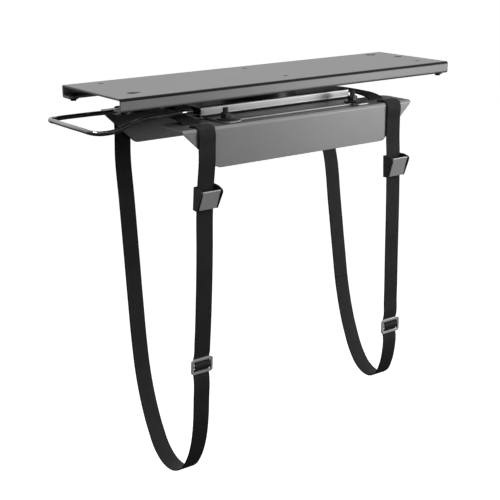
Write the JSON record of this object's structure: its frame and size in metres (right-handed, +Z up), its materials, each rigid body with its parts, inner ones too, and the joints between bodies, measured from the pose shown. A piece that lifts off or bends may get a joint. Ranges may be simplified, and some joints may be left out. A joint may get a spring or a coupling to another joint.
{
  "type": "cpu holder",
  "caption": "Under-desk sling for a computer case: ceiling track, sliding and turning carriage, widening side brackets and two buckled webbing loops.",
  "frame": {"origin": "centre of the track's top face, where it lies against the underside of the desk", "axes": "+X along the track, away from the pull handle; +Z up, out of the track's top face into the desk; -Y is the side that carries the buckles"},
  "size_m": [0.46, 0.1804, 0.4271],
  "materials": {
    "grey_steel": "satin grey powder coat over pressed sheet steel",
    "bright_steel": "bright zinc-plated pressed steel with fine rolling grain",
    "zinc_steel": "zinc-plated steel",
    "ball_steel": "polished ball steel",
    "brass_cage": "stamped brass ball cage",
    "black_steel": "black oxide and lacquer",
    "black_wire": "polished black-nickel plated round wire",
    "black_plastic": "moulded black nylon",
    "nylon": "natural white nylon",
    "rubber": "black rubber",
    "webbing": "black woven nylon webbing",
    "satin_lever": "satin silver-grey plated steel",
    "slider_chrome": "nickel-plated pressed steel"
  },
  "bodies": {
    "track": {"track_channel": "grey_steel", "stop_bumpers": "rubber"},
    "carriage": {"carriage_plate": "zinc_steel", "glide_near_left": "nylon", "glide_near_right": "nylon", "glide_far_left": "nylon", "glide_far_right": "nylon", "glide_rivets": "zinc_steel", "upper_race": "black_steel", "upper_race_rivets": "zinc_steel", "pivot_bolt": "zinc_steel", "pivot_washer": "zinc_steel", "pivot_nut": "zinc_steel"},
    "bearing_balls": {"ball_cage": "brass_cage", "balls": "ball_steel"},
    "swivel": {"swivel_pan": "bright_steel", "lower_race": "black_steel", "lower_race_rivets": "zinc_steel", "pivot_bushing": "nylon", "handle_block": "black_plastic", "block_screws": "zinc_steel", "handle_rod": "zinc_steel", "clamp_bolts": "black_steel", "clamp_washers": "black_steel", "clamp_nuts": "black_steel"},
    "near_side": {"near_bracket": "grey_steel", "strap_left_near": "webbing", "strap_right_near": "webbing", "left_buckle_frame": "black_steel", "left_buckle_pin": "black_steel", "left_buckle_spring": "zinc_steel", "left_buckle_bar": "black_steel", "right_buckle_frame": "black_steel", "right_buckle_pin": "black_steel", "right_buckle_spring": "zinc_steel", "right_buckle_bar": "black_steel", "left_slider": "slider_chrome", "right_slider": "slider_chrome"},
    "far_side": {"far_bracket": "grey_steel", "strap_left_far": "webbing", "strap_right_far": "webbing"},
    "left_lever": {"left_buckle_lever": "satin_lever"},
    "right_lever": {"right_buckle_lever": "satin_lever"},
    "handle": {"pull_handle": "black_wire", "handle_collars": "black_wire"}
  },
  "joints": [
    {"name": "carriage_slide", "type": "slide", "parent": "track", "child": "carriage", "axis": [1, 0, 0], "range_m": [-0.095, 0.119]},
    {"name": "swivel_turn", "type": "hinge", "parent": "carriage", "child": "swivel", "pos_m": [-0.012, 0, -0.015], "axis": [0, 0, 1], "continuous": true},
    {"name": "bearing_turn", "type": "hinge", "parent": "carriage", "child": "bearing_balls", "pos_m": [-0.012, 0, -0.015], "axis": [0, 0, 1], "continuous": true},
    {"name": "near_width", "type": "slide", "parent": "swivel", "child": "near_side", "axis": [0, -1, 0], "range_m": [0, 0.03]},
    {"name": "far_width", "type": "slide", "parent": "swivel", "child": "far_side", "axis": [0, 1, 0], "range_m": [0, 0.03]},
    {"name": "handle_lift", "type": "hinge", "parent": "swivel", "child": "handle", "pos_m": [-0.102, 0, -0.028], "axis": [0, 1, 0], "range_deg": [0, 2.5]},
    {"name": "left_lever_press", "type": "hinge", "parent": "near_side", "child": "left_lever", "pos_m": [-0.135, -0.08184, -0.10177], "axis": [-1, 0, 0], "range_deg": [0, 30], "stiffness_Nm_per_rad": 0.06, "springref_deg": -14.32},
    {"name": "right_lever_press", "type": "hinge", "parent": "near_side", "child": "right_lever", "pos_m": [0.111, -0.08854, -0.10113], "axis": [-1, 0, 0], "range_deg": [0, 30], "stiffness_Nm_per_rad": 0.06, "springref_deg": -14.32}
  ],
  "couplings": [
    {"joint": "bearing_turn", "follows": "swivel_turn", "ratio": 0.5}
  ]
}
